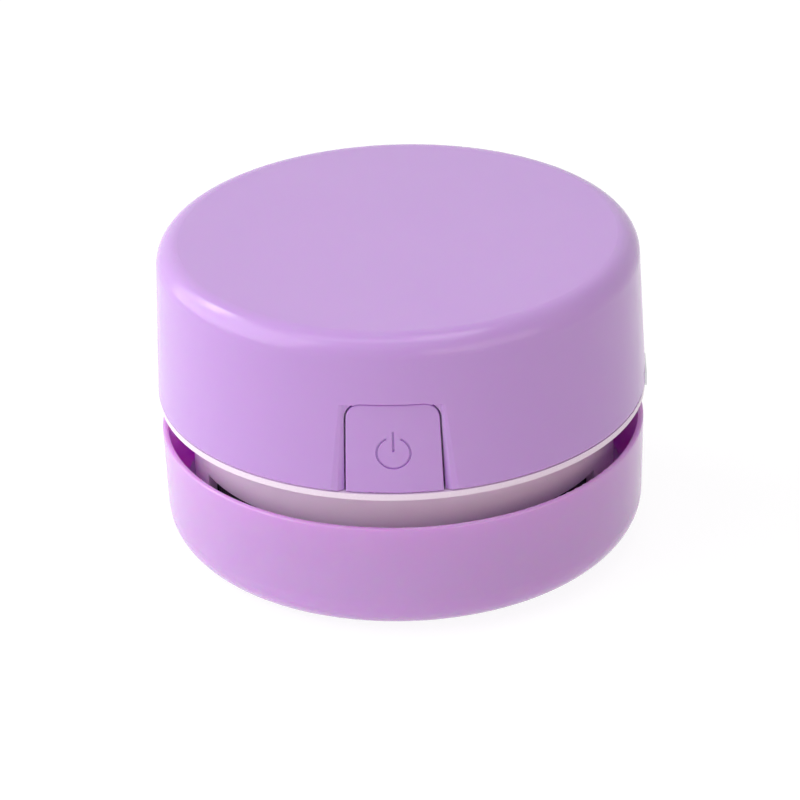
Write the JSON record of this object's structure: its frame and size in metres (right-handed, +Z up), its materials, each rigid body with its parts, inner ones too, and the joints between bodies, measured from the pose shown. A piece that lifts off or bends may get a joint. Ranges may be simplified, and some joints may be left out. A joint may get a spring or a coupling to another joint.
{
  "type": "desktop mini vacuum cleaner",
  "caption": "Small round desk vacuum: dust cup with intake nozzle and brush ring under a lift-off head with filter, fan motor, battery, power button and charging socket",
  "frame": {"origin": "on the round body's axis at desk level, under the centre of the part", "axes": "+Z up from the desk; -Y towards the power button; +X towards the charging socket"},
  "size_m": [0.0851, 0.0848, 0.0562],
  "materials": {
    "shell_lilac": "glossy, moulded",
    "button_lilac": "glossy, moulded",
    "cup_lilac": "glossy, moulded",
    "frame_white": "glossy, moulded",
    "nozzle_white": "satin, moulded",
    "clear_grey_rubber": "soft matte",
    "black_rubber": "soft matte",
    "bristle_black": "nylon bristle",
    "filter_black": "satin, moulded",
    "filter_cloth": "fine woven cloth",
    "screw_steel": "zinc plated",
    "motor_steel": "rolled sheet steel",
    "shaft_steel": "ground",
    "core_steel": "stacked sheets",
    "cap_black": "satin, moulded",
    "bush_bronze": "sintered",
    "terminal_brass": "stamped",
    "winding_copper": "enamelled copper",
    "magnet_dark": "sintered, dull",
    "cell_blue": "shrink wrap over the cell",
    "tab_nickel": "nickel strip",
    "board_green": "lacquered board",
    "part_black": "moulded",
    "plunger_white": "moulded",
    "socket_metal": "plated sheet",
    "lead_red": "insulated wire",
    "lead_black": "insulated wire",
    "fan_grey": "satin, moulded"
  },
  "bodies": {
    "base": {"dust_cup": "cup_lilac", "centre_plate": "cup_lilac", "cup_seat": "cup_lilac", "glide_feet": "clear_grey_rubber", "seal_ring": "clear_grey_rubber", "intake_nozzle": "nozzle_white", "brush_ring": "cup_lilac", "brush_tufts": "bristle_black", "nozzle_screws": "screw_steel"},
    "head": {"white_ring": "frame_white", "filter_skirt": "frame_white", "fan_deck": "frame_white", "motor_cradle": "frame_white", "board_standoffs": "frame_white", "battery_tray": "frame_white", "filter_frame": "filter_black", "filter_mesh": "filter_cloth", "top_shell": "shell_lilac", "shell_screws": "screw_steel", "motor_can": "motor_steel", "motor_end_cap": "cap_black", "motor_bushes": "bush_bronze", "motor_magnets": "magnet_dark", "motor_brushes": "magnet_dark", "motor_terminals": "terminal_brass", "motor_sleeve": "black_rubber", "motor_screws": "screw_steel", "battery_cell": "cell_blue", "battery_tabs": "tab_nickel", "battery_pad": "black_rubber", "battery_clamp": "frame_white", "clamp_screws": "screw_steel", "circuit_board": "board_green", "board_parts": "part_black", "board_screws": "screw_steel", "switch_housing": "part_black", "charging_socket": "socket_metal", "socket_tongue": "part_black", "motor_lead_red": "lead_red", "motor_lead_black": "lead_black", "battery_lead_red": "lead_red", "battery_lead_black": "lead_black"},
    "button": {"power_button": "button_lilac", "switch_plunger": "plunger_white"},
    "rotor": {"motor_shaft": "shaft_steel", "armature_core": "core_steel", "armature_windings": "winding_copper", "commutator": "winding_copper", "impeller": "fan_grey"}
  },
  "joints": [
    {"name": "head_lift", "type": "slide", "parent": "base", "child": "head", "axis": [0, 0, 1], "range_m": [0, 0.03]},
    {"name": "button_press", "type": "slide", "parent": "head", "child": "button", "axis": [0, 1, 0], "range_m": [0, 0.001], "stiffness_N_per_m": 1500, "springref_m": -0.0005},
    {"name": "fan_spin", "type": "hinge", "parent": "head", "child": "rotor", "pos_m": [0, 0, 0.03], "axis": [0, 0, 1], "continuous": true}
  ]
}
